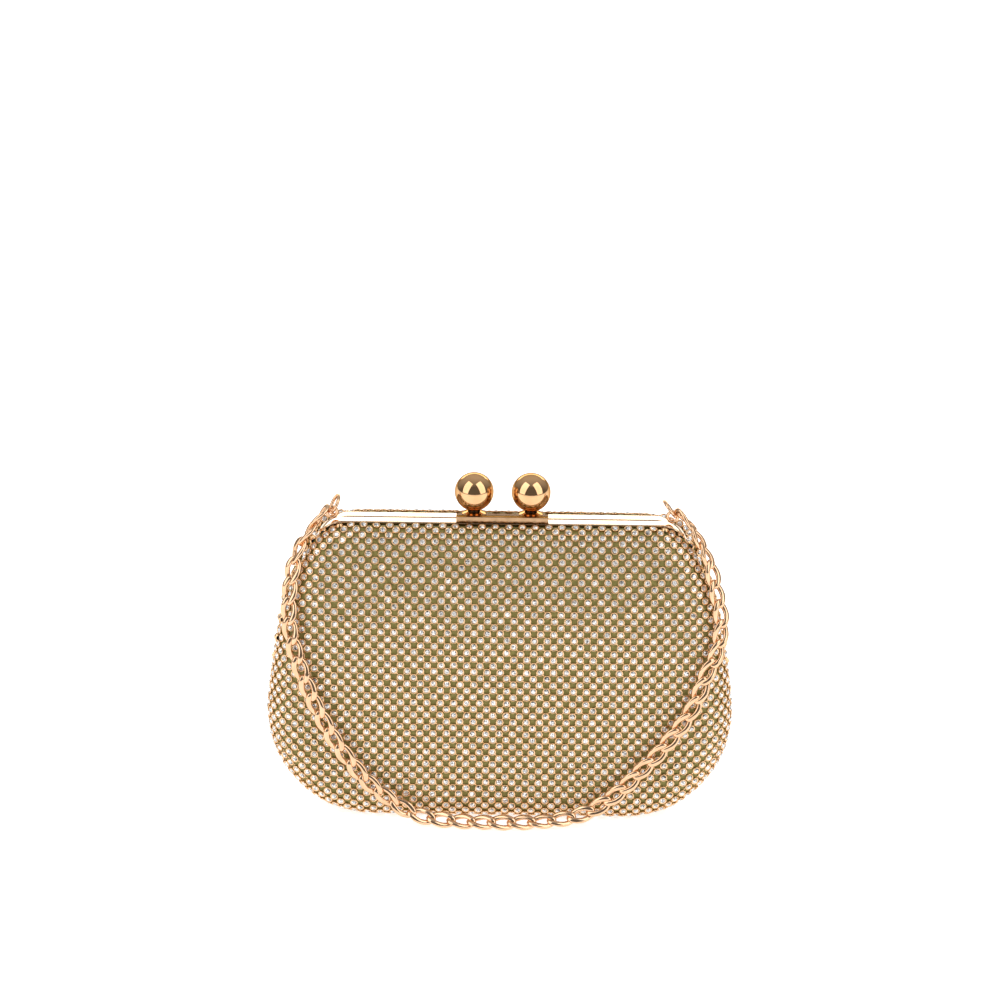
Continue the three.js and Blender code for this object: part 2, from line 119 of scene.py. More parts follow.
# Crystals, in millimetres
PITCH = 5.66  # in a row; rows are half of it apart and staggered
CUP_R = 1.75
CUP_DEPTH = 1.25
STONE_R = 1.2
STONE_RISE = 0.42
BAR_WIDE = 0.42
BAR_THICK = 0.3
BAR_DROP = 0.85  # from the cups' lips down to the bars
BAR_REACH = 0.8  # of the cup's radius
BAR_FACES = [[0, 1, 3, 2], [4, 6, 7, 5], [0, 4, 5, 1], [2, 3, 7, 6], [0, 2, 6, 4], [1, 5, 7, 3]]
MESH_SINK = 1.35  # the gold mesh lies this far below the crystals' tops
CUP_SIDES = 12
CUP_PROFILE = [  # radius, height over the lip
    (CUP_R - 0.6, -CUP_DEPTH), (CUP_R, -0.3), (CUP_R - 0.1, 0.06),
    (CUP_R - 0.32, 0.12), (STONE_R - 0.05, -0.1),
]
TABLE_SHARE = 0.56  # of the stone's radius
STAR_SHARE = 0.8
GIRDLE_DROP = 0.12
FACET_CHANCE = 0.75  # how much of a facet's painted reflection is chance
FACET_PAINTED_SHADE = 0.22  # and how much painted shade darkens it towards the stone's top edge
PANEL_TOP = STATIONS[-1][1]
LATTICE_ROWS = range(-16, 62)
LATTICE_COLUMNS = range(-24, 25)
LATTICE_RAISE = 1.0
PLACE_SCATTER = 0.09
LEAN_SCATTER = 2.5  # degrees

# Chain, in millimetres: the CAD envelope's route, drawn in a little at the right shoulder
CHAIN_ROUTE = [
    (-74.9, -6.9, 135.4), (-79.6, -9, 129.4), (-86, -12.4, 119.6), (-88.6, -15.4, 110.8),
    (-90, -19.4, 99.4), (-89.6, -22.6, 87), (-86.5, -25.6, 74.8), (-83.5, -27.4, 66.2),
    (-80, -27.8, 57.3), (-71.1, -28.4, 39.5), (-63.8, -28.7, 28.8), (-56.2, -28.9, 19.4),
    (-49.4, -29.2, 13.7), (-42.5, -29.8, 8.8), (-36.2, -30.6, 5.6), (-29.8, -31.3, 4),
    (-20.4, -32.2, 3.2), (-10.2, -33, 3), (0, -33.2, 3), (10, -32.9, 3),
    (19, -32, 3.2), (31.9, -30.4, 4.8), (39.6, -29.4, 7.3), (46.8, -29, 12.2),
    (53.6, -28.9, 18), (59.1, -28.8, 24.3), (65.5, -28.7, 31), (76.2, -28.3, 44.9),
    (81.3, -27.9, 53), (85.1, -27.2, 61.8), (88.1, -25.8, 70.3), (91.3, -23.6, 76.2),
    (93.8, -19.6, 90), (92.6, -17.6, 98.2), (90.5, -15.6, 106.6), (88.5, -13.4, 114.6),
    (83.6, -10.4, 124.8), (78.6, -8, 132), (74.7, -6.9, 135.6),
]
LINK_PITCH = 8.6
LINK_WIRE = 2.0
LINK_BAND = 2.4  # the wire's width after rolling
LINK_WIDTH = 7.4
LINK_TWIST = math.radians(42)
LINK_FLAT = 1.9  # half of the rolled link's thickness
LINK_ROLL = 1.05
LINK_STEPS = 36
LINK_SIDES = 12
ROUTE_STEPS = 1200
CHAIN_FACING = 0.9  # how much the links turn to the front from the bag's own slope
RING_LEANS = {"left": (27, 8), "right": (36, 8)}  # degrees inwards, and turned about it
RING_PIVOT = 2.3
FLAT_LINK_Z = 3  # below this the links lie on the floor, and FLAT_RISE above it on the bag
FLAT_RISE = 10
FLAT_FACING = np.array([0, -0.7, 0.9])
END_SWING = math.radians(62)  # the last links turn on edge into their rings
END_LINKS = 3
LINK_SWAY = 0.09

# Frame and clasp, in millimetres
FRAME_CORNER_R = 11.0
FLANGE_THICK = 1.2
FLANGE_EDGE = 0.42
WEB_THICK = 1.15
WEB_DEPTH = 8.0
WEB_END_Z = 97.0
HINGE_Z = 90.0
EAR_R = 4.5
EAR_EDGE = 0.2
SEAM_HALF = 0.25
BAR_SLOPE = 0.17  # the clasp bar's top falls towards the back
BAR_BACK_SLOPE = 0.24
BAR_STEP = 0.2
BAR_FRONT = 7.1
BAR_BACK = 4.2
BAR_EDGE = 0.3
BAR_STEPS = 30
BALL_NECK_R = 2.4
BALL_STEPS = 28
BALL_SIDES = 56
NECK_SIDES = 32
NECK_R = 2.65
NECK_FOOT = 0.8
COLLAR_FOOT = [(0.3, -0.9), (0.3, -0.05), (0.15, 0.1), (0.25, 0.25)]  # in from the rim, rise
COLLAR_FLARE = [(4.4, 0.5), (3.6, 0.75), (3.0, 0.95), (2.2, 1.05)]  # radius, rise


# ---------------------------------------------------------------- camera, light, floor
CAMERA_AIM = Vector((-0.0011, 0, 0.1379))
CAMERA_ELEVATION = math.radians(20)
CAMERA_DISTANCE = 2.2
CAMERA_ROLL = math.radians(0.8)
VIEW_WIDTH = 0.4255  # metres across the picture at the aim
SOFTBOX_AIM = Vector((0, 0, 0.08))
SOFTBOXES = {  # place, width and height in metres, power
    "softbox_left": ((-1.05, -0.75, 1.0), 1.1, 2.0, 12),
    "softbox_right": ((1.05, -0.75, 1.0), 1.1, 2.0, 12),
    "softbox_back": ((0, 2.3, 0.97), 3.2, 0.85, 22),
}
SKY_TOWARDS = (0, 0.6, 0.8)  # the studio's surroundings are brightest this way
SKY_GREYS = [(0.15, 0.15), (0.95, 0.6)]
FLOOR_HALF = 6.0
FLOOR_DROP = 0.0002
FLOOR_GLOW = 0.66


def make_camera():
    back = Vector((0, -math.cos(CAMERA_ELEVATION), math.sin(CAMERA_ELEVATION)))
    data = bpy.data.cameras.new("camera")
    data.lens = data.sensor_width * CAMERA_DISTANCE / VIEW_WIDTH
    camera = bpy.data.objects.new("camera", data)
    bpy.context.scene.collection.objects.link(camera)
    camera.location = CAMERA_AIM + back * CAMERA_DISTANCE
    upright = (-back).to_track_quat("-Z", "Y").to_matrix()
    camera.rotation_euler = (upright @ Matrix.Rotation(CAMERA_ROLL, 3, "Z")).to_euler()
    bpy.context.scene.camera = camera


def softbox(name, place, width, height, power):
    data = bpy.data.lights.new(name, "AREA")
    data.shape = "RECTANGLE"
    data.size = width
    data.size_y = height
    data.energy = power
    lamp = bpy.data.objects.new(name, data)
    bpy.context.scene.collection.objects.link(lamp)
    lamp.location = place
    lamp.rotation_euler = (SOFTBOX_AIM - Vector(place)).to_track_quat("-Z", "Y").to_euler()


def make_studio():
    for name, setting in SOFTBOXES.items():
        softbox(name, *setting)
    world = bpy.data.worlds.new("studio")
    world.use_nodes = True
    bpy.context.scene.world = world
    nodes, links = world.node_tree.nodes, world.node_tree.links
    direction = nodes.new("ShaderNodeTexCoord")
    towards = nodes.new("ShaderNodeVectorMath")
    towards.operation = "DOT_PRODUCT"
    towards.inputs[1].default_value = SKY_TOWARDS
    ramp = nodes.new("ShaderNodeValToRGB")
    for stop, (position, grey) in zip(ramp.color_ramp.elements, SKY_GREYS):
        stop.position = position
        stop.color = (grey, grey, grey, 1)
    links.new(direction.outputs["Generated"], towards.inputs[0])
    links.new(towards.outputs["Value"], ramp.inputs["Fac"])
    links.new(ramp.outputs["Color"], nodes["Background"].inputs["Color"])
    bpy.context.scene.view_settings.view_transform = "Standard"


def make_floor():
    made = bmesh.new()
    far = FLOOR_HALF
    corners = [(-far, -far), (far, -far), (far, far), (-far, far)]
    made.faces.new([made.verts.new((x, y, cad_low.z - FLOOR_DROP)) for x, y in corners])
    mesh = bpy.data.meshes.new("floor")
    made.to_mesh(mesh)
    made.free()
    floor = bpy.data.objects.new("floor", mesh)
    bpy.context.scene.collection.objects.link(floor)
    paper = plain("studio_floor", (0.93, 0.93, 0.93), (0.9, 0.9, 0.9), 0.5)
    glow = paper.node_tree.nodes["Principled BSDF"]
    glow.inputs["Emission Color"].default_value = (1, 1, 1, 1)
    glow.inputs["Emission Strength"].default_value = FLOOR_GLOW
    mesh.materials.append(paper)


# ---------------------------------------------------------------- materials
def shader_of(name):
    made = bpy.data.materials.new(name)
    made.use_nodes = True
    return made, made.node_tree.nodes, made.node_tree.links


def noise_colours(nodes, links, scale, low, high):
    """Base colour that drifts between two colours with a fine noise on the object."""
    place = nodes.new("ShaderNodeTexCoord")
    noise = nodes.new("ShaderNodeTexNoise")
    noise.inputs["Scale"].default_value = scale
    noise.inputs["Detail"].default_value = 3
    ramp = nodes.new("ShaderNodeValToRGB")
    ramp.color_ramp.elements[0].position = 0.35
    ramp.color_ramp.elements[0].color = (*low, 1)
    ramp.color_ramp.elements[1].position = 0.65
    ramp.color_ramp.elements[1].color = (*high, 1)
    links.new(place.outputs["Object"], noise.inputs["Vector"])
    links.new(noise.outputs["Fac"], ramp.inputs["Fac"])
    links.new(ramp.outputs["Color"], nodes["Principled BSDF"].inputs["Base Color"])
    return place, noise


def plain(name, low, high, roughness, scale=40.0):
    made, nodes, links = shader_of(name)
    noise_colours(nodes, links, scale, low, high)
    nodes["Principled BSDF"].inputs["Roughness"].default_value = roughness
    return made


def metal(name, deep, bright, roughness, edge=(0.8, 0.6, 0.45)):
    """Polished plate: slight colour drift, tinted edges and the polish's faint waviness."""
    made, nodes, links = shader_of(name)
    _, noise = noise_colours(nodes, links, 250.0, deep, bright)
    shader = nodes["Principled BSDF"]
    shader.inputs["Metallic"].default_value = 1
    shader.inputs["Roughness"].default_value = roughness
    shader.inputs["Specular Tint"].default_value = (*edge, 1)
    wave = nodes.new("ShaderNodeBump")
    wave.inputs["Strength"].default_value = 0.02
    wave.inputs["Distance"].default_value = 0.1 * MM
    links.new(noise.outputs["Fac"], wave.inputs["Height"])
    links.new(wave.outputs["Normal"], shader.inputs["Normal"])
    return made


def crystal():
    """Foiled cut glass: each facet's colour is painted reflection, a bright, grey or dark patch.
    """
    made, nodes, links = shader_of("crystal")
    shader = nodes["Principled BSDF"]
    facet = nodes.new("ShaderNodeAttribute")
    facet.attribute_name = "facet"
    ramp = nodes.new("ShaderNodeValToRGB")
    # greys from near black to white: the facets' painted reflections
    stops = [(0.0, 0.015), (0.22, 0.06), (0.38, 0.3), (0.56, 0.75), (1.0, 1.0)]
    for position, grey in stops[1:-1]:
        ramp.color_ramp.elements.new(position).color = (grey, grey * 0.99, grey * 0.98, 1)
    ramp.color_ramp.elements[0].color = (stops[0][1],) * 3 + (1,)
    ramp.color_ramp.elements[-1].color = (stops[-1][1],) * 3 + (1,)
    links.new(facet.outputs["Fac"], ramp.inputs["Fac"])
    links.new(ramp.outputs["Color"], shader.inputs["Base Color"])
    shader.inputs["Metallic"].default_value = 0.55
    shader.inputs["Roughness"].default_value = 0.12
    shader.inputs["Coat Weight"].default_value = 0.6
    shader.inputs["Coat Roughness"].default_value = 0.03
    return made


def lame():
    """Metallic thread cloth: fine horizontal weave, olive gold."""
    made, nodes, links = shader_of("lame_mesh")
    place, _ = noise_colours(nodes, links, 700.0, (0.23, 0.2, 0.05), (0.32, 0.28, 0.08))
    shader = nodes["Principled BSDF"]
    shader.inputs["Metallic"].default_value = 0.3
    shader.inputs["Roughness"].default_value = 0.5
    weave = nodes.new("ShaderNodeTexWave")
    weave.bands_direction = "Z"
    weave.inputs["Scale"].default_value = 900.0
    weave.inputs["Distortion"].default_value = 1.5
    bump = nodes.new("ShaderNodeBump")
    bump.inputs["Strength"].default_value = 0.5
    bump.inputs["Distance"].default_value = 0.1 * MM
    links.new(place.outputs["Object"], weave.inputs["Vector"])
    links.new(weave.outputs["Fac"], bump.inputs["Height"])
    links.new(bump.outputs["Normal"], shader.inputs["Normal"])
    return made


def satin():
    made, nodes, links = shader_of("satin_lining")
    _, noise = noise_colours(nodes, links, 60.0, (0.3, 0.2, 0.1), (0.4, 0.28, 0.15))
    shader = nodes["Principled BSDF"]
    shader.inputs["Roughness"].default_value = 0.38
    shader.inputs["Sheen Weight"].default_value = 0.4
    bump = nodes.new("ShaderNodeBump")
    bump.inputs["Strength"].default_value = 0.3
    bump.inputs["Distance"].default_value = 0.5 * MM
    links.new(noise.outputs["Fac"], bump.inputs["Height"])
    links.new(bump.outputs["Normal"], shader.inputs["Normal"])
    return made


# ---------------------------------------------------------------- meshes
def piece(name, verts, faces, material, smooth=True):
    """A mesh object from points in millimetres."""
    mesh = bpy.data.meshes.new(name)
    mesh.from_pydata((np.asarray(verts, float) * MM).tolist(), [], faces)
    mesh.materials.append(material)
    if smooth:
        mesh.shade_smooth()
    else:
        mesh.shade_flat()
    made = bpy.data.objects.new(name, mesh)
    bpy.context.scene.collection.objects.link(made)
    return made


def dress(made, body, slot, *nodes):
    """A finished piece rides on a body and stands for CAD nodes; slot is not used."""
    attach(made, body)
    if nodes:
        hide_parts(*nodes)
    return made


def grid_faces(rows, columns, closed_rows=False, closed_columns=True):
    """Quads of a grid of points numbered row by row."""
    faces = []
    for r in range(rows if closed_rows else rows - 1):
        for c in range(columns if closed_columns else columns - 1):
            here, there = r * columns, (r + 1) % rows * columns
            after = (c + 1) % columns
            faces.append([here + c, here + after, there + after, there + c])
    return faces


def copies(template, faces, turns, places):
    """The template's points and faces at every place, each with its own rotation."""
    points = np.einsum("nij,vj->nvi", turns, template) + places[:, None]
    count = len(template)
    repeated = [[count * k + v for v in face] for k in range(len(places)) for face in faces]
    return points.reshape(-1, 3), repeated


def lathe(profile, sides, centre):
    """A surface of revolution about an upright axis, from (radius, z) pairs."""
    turn = np.linspace(0, 2 * math.pi, sides, endpoint=False)
    ring = np.stack([np.cos(turn), np.sin(turn), np.zeros(sides)], 1)
    points = [ring * r + [centre[0], centre[1], z] for r, z in profile]
    faces = grid_faces(len(profile), sides)
    verts = np.concatenate(points)
    last = (len(profile) - 1) * sides
    caps = [list(range(sides))[::-1], [last + k for k in range(sides)]]
    return verts, faces + caps


# ---------------------------------------------------------------- pouch surface
def catmull(points, at):
    """Centripetal Catmull-Rom through the points, at shares from 0 to 1."""
    p = np.asarray(points, float)
    p = np.vstack([2 * p[0] - p[1], p, 2 * p[-1] - p[-2]])
    spans = len(p) - 3
    place = np.clip(np.asarray(at, float) * spans, 0, spans - 1e-9)
    i = place.astype(int)
    u = (place - i)[:, None]
    p0, p1, p2, p3 = p[i], p[i + 1], p[i + 2], p[i + 3]
    d0, d1, d2 = [
        np.linalg.norm(b - a, axis=1)[:, None] ** 0.5
        for a, b in ((p0, p1), (p1, p2), (p2, p3))
    ]
    d1 = np.where(d1 < 1e-4, 1, d1)
    d0 = np.where(d0 < 1e-4, d1, d0)
    d2 = np.where(d2 < 1e-4, d1, d2)
    t1 = ((p1 - p0) / d0 - (p2 - p0) / (d0 + d1) + (p2 - p1) / d1) * d1
    t2 = ((p2 - p1) / d1 - (p3 - p1) / (d1 + d2) + (p3 - p2) / d2) * d1
    curve = (2 * p1 - 2 * p2 + t1 + t2) * u
    return ((curve - 3 * p1 + 3 * p2 - 2 * t1 - t2) * u + t1) * u + p1


def face_depth(x, z, set_back=0):
    lean = np.where(z > FULL_Z, LEAN_ABOVE, LEAN_BELOW)
    belly = HALF_DEPTH - lean * (z - FULL_Z) ** 2
    return belly - SIDE_EASE * (np.abs(x) / HALF_WIDTH) ** 4 - set_back


def mirrored(half):
    """A closed loop from its right half, which runs from the base's middle to the top's."""
    left = half[-2:0:-1].copy()
    left[..., 0] *= -1
    return np.concatenate([half, left])


def eased(out):
    """Outward directions with their quick turn at the top corners spread along the edge."""
    loop = mirrored(out)
    for _ in range(CORNER_EASE):
        loop = (np.roll(loop, 1, 0) + 2 * loop + np.roll(loop, -1, 0)) / 4
    half = loop[:SAMPLES]
    return half / np.linalg.norm(half, axis=1)[:, None]


def edge_sections(stations, set_back=0):
    """Sections over the pouch's edge, all round: roll, side wall and the panel's end."""
    table = np.array(stations, float)
    at = np.linspace(0, 1, SAMPLES)
    rim = catmull(table[:, [0, 4, 1]], at)
    roll = catmull(table[:, [2, 3]], at)
    end = catmull(table[:, [5, 6, 7]] * [1, -1, 1], at)
    rim[:, 2] = rim[:, 2].clip(table[0, 1], table[-1, 1])
    end[:, 2] = end[:, 2].clip(table[0, 7], table[-1, 7])
    along = np.gradient(rim, axis=0)
    out = np.stack([along[:, 2], 0 * at, -along[:, 0]], 1)
    out[[0, -1]] = [[0, 0, -1], [0, 0, 1]]
    out = eased(out / np.linalg.norm(out, axis=1)[:, None])
    start = rim * [1, 0, 1] - out * roll[:, :1]
    sections = []
    for angle in np.linspace(0, math.pi / 2, ROLL_SAMPLES):
        p = start + out * roll[:, :1] * math.sin(angle)
        depth = face_depth(p[:, 0], p[:, 2], set_back)
        p[:, 1] = roll[:, 1] * (1 - math.cos(angle)) - depth
        sections.append(p)
    edge = sections[-1]
    fold = np.minimum(rim[:, 1], -edge[:, 1] - FOLD_CLEAR)
    wall = (edge + end) / 2
    wall[:, 1] = edge[:, 1] * WALL_SHARE - fold * (1 - WALL_SHARE)
    tuck = edge + (end - edge) * TUCK_SHARE
    tuck[:, 1] = -fold
    side = np.stack([edge, wall, tuck, end], 1)
    steps = np.linspace(0, 1, WALL_SAMPLES)
    walls = np.stack([catmull(points, steps) for points in side])
    half = np.concatenate([np.stack(sections, 1), walls[:, 1:]], 1)
    return mirrored(half), mirrored(out)


def run_lengths(sections):
    steps = np.linalg.norm(np.diff(sections, axis=1), axis=2)
    return np.concatenate([np.zeros((len(sections), 1)), steps.cumsum(1)], 1)


def run_on(sections):
    """The sections carried straight on past their ends, so that a slope is known there."""
    last = sections[:, -1:]
    return np.concatenate([sections, last + (last - sections[:, -2:-1])], 1)


SECTIONS, OUTWARD = edge_sections(STATIONS)
CHART = run_on(SECTIONS)
RUNS = run_lengths(CHART)


def cover_limits():
    """How far over the edge the crystals run, in each section."""
    share = mirrored(catmull(np.array(STATIONS)[:, [0, 8]], np.linspace(0, 1, SAMPLES)))[:, 1]
    to_rim = RUNS[:, ROLL_SAMPLES - 1]
    return to_rim + share * (RUNS[:, -2] - to_rim)


COVER = cover_limits()


def edge_places(flat):
    """For flat points (x, z): section, share to the next one, distance beyond the face."""
    foot = SECTIONS[:, 0][:, [0, 2]]
    out = OUTWARD[:, [0, 2]]
    away = flat[:, None] - foot
    aside = away[..., 0] * out[:, 1] - away[..., 1] * out[:, 0]
    after = np.roll(aside, -1, 1)
    share = aside / np.where(aside == after, 1, aside - after)
    crossed = (aside * after <= 0) & ((away * out).sum(2) > 0)
    step = np.roll(foot, -1, 0) - foot
    gap = np.linalg.norm(away - share[..., None] * step, axis=2)
    gap[~crossed] = np.inf
    i = gap.argmin(1)
    row = np.arange(len(flat))
    beyond = np.where(np.isinf(gap[row, i]), -1, gap[row, i])
    return i, share[row, i].clip(0, 1), beyond


def on_section(i, distance):
    return np.array([np.interp(distance, RUNS[i], CHART[i][:, k]) for k in range(3)])


def on_face(flat):
    return np.stack([flat[:, 0], -face_depth(flat[:, 0], flat[:, 1]), flat[:, 1]], 1)


def pouch_frames(flat):
    """Places on the pouch, and rotations whose columns are across, up and outward."""
    step = 0.2
    i, share, beyond = edge_places(flat)
    here = on_face(flat)
    across = on_face(flat + [step, 0]) - on_face(flat - [step, 0])
    up = on_face(flat + [0, step]) - on_face(flat - [0, step])
    for k in np.nonzero(beyond > 0)[0]:
        after = (i[k] + 1) % len(SECTIONS)
        sides = [[on_section(j, beyond[k] + d) for d in (-step, 0, step)] for j in (i[k], after)]
        below, here[k], above = sides[0] + (np.array(sides[1]) - sides[0]) * share[k]
        across[k], up[k] = above - below, sides[1][1] - sides[0][1]
    across /= np.linalg.norm(across, axis=1)[:, None]
    normal = np.cross(across, up)
    normal /= np.linalg.norm(normal, axis=1)[:, None]
    up = np.cross(normal, across)
    return here, np.stack([across, up, normal], 2)


def shell_rings(sections, set_back=0):
    """Rings of points from the middle of the face outwards, for one half."""
    start = sections[:, 0]
    centre = np.array([0, 0, CORE_Z])
    rings = []
    for share in np.linspace(FACE_CENTRE, 1, FACE_RINGS)[:-1]:
        ring = centre + (start * [1, 0, 1] - centre) * share
        ring[:, 1] = -face_depth(ring[:, 0], ring[:, 2], set_back)
        rings.append(ring)
    return np.concatenate([np.stack(rings), sections.transpose(1, 0, 2)])


def sunk(rings, depth):
    """The rings moved in from the face along its normal."""
    around = np.roll(rings, -1, 1) - np.roll(rings, 1, 1)
    outward = np.gradient(rings, axis=0)
    normal = np.cross(around, outward)
    normal /= np.linalg.norm(normal, axis=2)[..., None]
    return rings + normal * depth


def cloth(name, rings, material):
    count = rings.shape[1]
    verts = rings.reshape(-1, 3)
    faces = [f[::-1] for f in grid_faces(len(rings), count)] + [list(range(count))]
    made = piece(name, verts, faces, material)
    solid = made.modifiers.new("thickness", "SOLIDIFY")
    solid.thickness = CLOTH_THICK * MM
    solid.offset = -1
    return made


# ---------------------------------------------------------------- crystals
def cup_template():
    """Pressed metal cup, its lip turned in over the stone; the lip is at height 0."""
    verts, faces = lathe(CUP_PROFILE, CUP_SIDES, (0, 0))
    return verts, faces[:-2]


def stone_template():
    """Cut crystal: table of eight patches, stars, kites and upper girdle facets."""
    def ring(count, radius, height, shift=0.0):
        turn = 2 * math.pi * (np.arange(count) + shift) / count
        return [(radius * math.cos(a), radius * math.sin(a), height) for a in turn]

    verts = [(0, 0, STONE_RISE)]
    verts += ring(8, TABLE_SHARE * STONE_R, STONE_RISE)
    verts += ring(8, STAR_SHARE * STONE_R, 0.5 * STONE_RISE, 0.5)
    verts += ring(16, STONE_R, -GIRDLE_DROP)
    table, middle, girdle = 1, 9, 17
    faces = []
    for k in range(8):
        after, before = (k + 1) % 8, (k - 1) % 8
        left, mid, right = girdle + 2 * k, girdle + 2 * k + 1, girdle + (2 * k + 2) % 16
        faces.append([0, table + k, table + after])
        faces.append([table + k, middle + k, table + after])
        faces.append([table + k, middle + before, left, middle + k])
        faces.append([middle + k, left, mid])
        faces.append([middle + k, mid, right])
    return np.array(verts), faces


def lattice():
    """Staggered flat places of the crystals: (row, column) and (x, z)."""
    rise = np.linspace(0, PANEL_TOP, 257)
    slope = np.gradient(face_depth(0 * rise, rise), rise)
    length = np.concatenate([[0], np.cumsum(np.diff(rise) * np.hypot(1, slope[1:]))])
    keys, flat = [], []
    for row in LATTICE_ROWS:
        v = row * PITCH / 2 + LATTICE_RAISE
        z = v + np.interp(v, length, rise - length)
        for column in LATTICE_COLUMNS:
            keys.append((row, column))
            flat.append(((column + 0.5 * (row % 2)) * PITCH, z))
    flat = np.array(flat)
    i, share, beyond = edge_places(flat)
    limit = COVER[i] + (COVER[(i + 1) % len(COVER)] - COVER[i]) * share
    kept = beyond < limit
    return [key for key, keep in zip(keys, kept) if keep], flat[kept]


def tilts(count, amount):
    """Small random leans, as rotation matrices."""
    lean = SEED.normal(0, math.radians(amount), (count, 2))
    made = np.tile(np.eye(3), (count, 1, 1))
    made[:, 0, 2], made[:, 1, 2] = lean[:, 0], lean[:, 1]
    made[:, 2, 0], made[:, 2, 1] = -lean[:, 0], -lean[:, 1]
    return made


def spins(angles):
    made = np.tile(np.eye(3), (len(angles), 1, 1))
    made[:, 0, 0] = made[:, 1, 1] = np.cos(angles)
    made[:, 1, 0] = np.sin(angles)
    made[:, 0, 1] = -made[:, 1, 0]
    return made


def painted_facet_reflections(turns, template, faces):
    """Painted reflection of every facet: mostly chance, and darker above the stone's middle as
    painted shade.
    """
    middles = np.array([template[face].mean(0) for face in faces]) / STONE_R
    height = np.einsum("nij,fj->nfi", turns, middles)[..., 1]
    chance = SEED.random(height.shape)
    return (FACET_CHANCE * chance + 1 - FACET_CHANCE - FACET_PAINTED_SHADE * height).clip(0, 1).ravel()


def crystal_field(name):
    """Stones, cups and the little bars between cups, on the front half, as three pieces."""
    keys, flat = lattice()
    count = len(flat)
    places, turns = pouch_frames(flat + SEED.normal(0, PLACE_SCATTER, flat.shape))
    turns = turns @ tilts(count, LEAN_SCATTER)
    seat = places - turns[:, :, 2] * STONE_RISE

    template, faces = stone_template()
    spun = spins(SEED.uniform(0, 2 * math.pi, count))
    stones = piece(f"{name}_stones", *copies(template, faces, turns @ spun, seat),
                   CRYSTAL, smooth=False)
    # each facet's painted reflection and painted shade, read by the crystal's colour ramp
    value = stones.data.attributes.new("facet", "FLOAT", "FACE")
    value.data.foreach_set("value", painted_facet_reflections(spun, template, faces).astype(np.float32))

    cups = piece(f"{name}_cups", *copies(*cup_template(), turns, seat), CUP_METAL)

    index = {key: k for k, key in enumerate(keys)}
    points, quads = [], []
    for (row, column), k in index.items():
        for rise in (1, -1):
            other = index.get((row + rise, column + row % 2))
            if other is not None:
                bar = bar_points(seat[k], seat[other], turns[k][:, 2] + turns[other][:, 2])
                quads += [[len(points) + v for v in face] for face in BAR_FACES]
                points += bar
    bars = piece(f"{name}_bars", points, quads, CUP_METAL, smooth=False)
    return stones, cups, bars


def bar_points(a, b, normal):
    """Corners of a flat bar from one cup to the next, a little below their lips."""
    n = normal / np.linalg.norm(normal)
    along = (b - a) / np.linalg.norm(b - a)
    wide = np.cross(n, along) * BAR_WIDE / 2
    corners = []
    for end in (a + along * BAR_REACH * CUP_R, b - along * BAR_REACH * CUP_R):
        for side in (-wide, wide):
            for height in (-BAR_DROP, -BAR_DROP - BAR_THICK):
                corners.append(end + side + n * height)
    return corners


# ---------------------------------------------------------------- chain
def chain_frames(surface):
    """Every link's middle and rotation (columns along, across, outward), flat on the bag."""
    fine = catmull(CHAIN_ROUTE, np.linspace(0, 1, ROUTE_STEPS))
    run = np.concatenate([[0], np.linalg.norm(np.diff(fine, axis=0), axis=1).cumsum()])
    count = round(run[-1] / LINK_PITCH)
    at = (np.arange(count) + 0.5) * run[-1] / count
    middles = np.stack([np.interp(at, run, fine[:, k]) for k in range(3)], 1)
    before, after = (
        np.stack([np.interp(at + s * LINK_PITCH / 2, run, fine[:, k]) for k in range(3)], 1)
        for s in (-1, 1)
    )
    along = (after - before) / np.linalg.norm(after - before, axis=1)[:, None]
    turns = []
    for k in range(count):
        face = np.array(surface.find_nearest(Vector(middles[k] * MM))[1])
        on_bag = np.clip((middles[k][2] - FLAT_LINK_Z) / FLAT_RISE, 0, 1)
        outward = (face + np.array([0, -1, 0.2]) * CHAIN_FACING) * on_bag
        outward += FLAT_FACING * (1 - on_bag)
        ends = min(k, count - 1 - k)
        swing = END_SWING * max(0, 1 - ends / END_LINKS) + SEED.normal(0, LINK_SWAY)
        across = np.cross(outward, along[k])
        across /= np.linalg.norm(across)
        outward = np.cross(along[k], across)
        turned = (across * math.cos(swing) + outward * math.sin(swing),
                  outward * math.cos(swing) - across * math.sin(swing))
        turns.append(np.stack([along[k], *turned], 1))
    return middles, np.array(turns), fine


def link_template():
    """Curb link: an oval of wire, twisted a quarter turn end to end and rolled flat."""
    half_long = (LINK_PITCH + LINK_WIRE) / 2
    half_wide = (LINK_WIDTH - LINK_BAND) / 2

    def line(t):
        twist = LINK_TWIST * np.cos(t)
        wide = half_wide * np.sin(t)
        return np.stack([half_long * np.cos(t), wide * np.cos(twist), wide * np.sin(twist)], 1)

    t = np.linspace(0, 2 * math.pi, LINK_STEPS, endpoint=False)
    centre = line(t)
    along = line(t + 0.01) - line(t - 0.01)
    along /= np.linalg.norm(along, axis=1)[:, None]
    out = centre * [1, 1, 0]
    out -= along * (out * along).sum(1)[:, None]
    out /= np.linalg.norm(out, axis=1)[:, None]
    rise = np.cross(along, out)
    verts = []
    for k in range(LINK_SIDES):
        a = 2 * math.pi * k / LINK_SIDES
        off = out * math.cos(a) * LINK_BAND / 2 + rise * math.sin(a) * LINK_WIRE / 2
        verts.append(centre + off)
    verts = np.stack(verts, 1).reshape(-1, 3)
    verts[:, 2] = LINK_FLAT * np.tanh(verts[:, 2] / LINK_FLAT * LINK_ROLL)
    return verts, grid_faces(LINK_STEPS, LINK_SIDES, closed_rows=True)


def make_chain(surface):
    middles, turns, fine = chain_frames(surface)
    chain = piece("chain", *copies(*link_template(), turns, middles), CHAIN_METAL)
    dress(chain, "strap", "chain_gold", "chain_strap")
    rings = [make_ring(f"strap_ring_{side}", *pose) for side, pose in RING_LEANS.items()]


